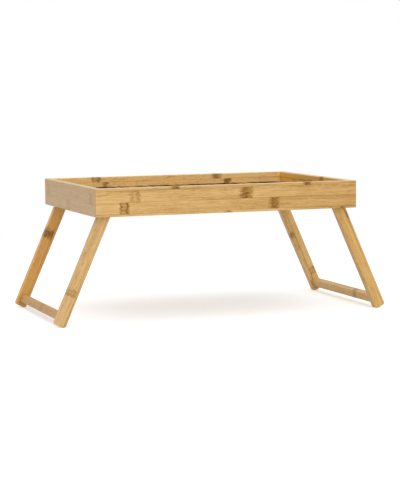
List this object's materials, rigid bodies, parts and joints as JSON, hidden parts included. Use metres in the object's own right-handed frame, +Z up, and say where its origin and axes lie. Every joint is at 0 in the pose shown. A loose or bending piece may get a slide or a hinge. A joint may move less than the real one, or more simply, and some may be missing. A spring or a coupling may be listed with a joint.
{
  "type": "bed tray table",
  "caption": "Folding bed tray table: a mitred bamboo rim round a thin dark floor, on splayed leg frames with stretchers that swing in flat under the floor.",
  "frame": {"origin": "on the surface the feet stand on, under the middle of the open table", "axes": "+X along the tray's long side to the right end, +Y across the tray to the back, +Z up"},
  "size_m": [0.6384, 0.34, 0.2428],
  "materials": {
    "bamboo": "clear satin varnish",
    "bamboo_inner": "sanded, thin varnish",
    "floor_laminate": "dark mottled laminate on a thin board, satin",
    "zinc_steel": "bright zinc plate",
    "brass": "turned brass"
  },
  "bodies": {
    "tray": {"front_rail": "bamboo", "back_rail": "bamboo", "left_end_rail": "bamboo", "right_end_rail": "bamboo", "floor_panel": "floor_laminate", "corner_splines": "bamboo_inner", "front_cleat": "bamboo_inner", "back_cleat": "bamboo_inner", "pivot_bolts": "zinc_steel", "insert_nuts": "brass", "spacer_washers": "zinc_steel", "head_washers": "zinc_steel", "front_cleat_screws": "zinc_steel", "back_cleat_screws": "zinc_steel"},
    "left_leg_frame": {"left_front_leg": "bamboo", "left_back_leg": "bamboo", "left_stretcher": "bamboo"},
    "right_leg_frame": {"right_front_leg": "bamboo", "right_back_leg": "bamboo", "right_stretcher": "bamboo"}
  },
  "joints": [
    {"name": "left_leg_fold", "type": "hinge", "parent": "tray", "child": "left_leg_frame", "pos_m": [-0.22173, 0, 0.20376], "axis": [0, -1, 0], "range_deg": [0, 114]},
    {"name": "right_leg_fold", "type": "hinge", "parent": "tray", "child": "right_leg_frame", "pos_m": [0.22173, 0, 0.20376], "axis": [0, 1, 0], "range_deg": [0, 114]}
  ]
}
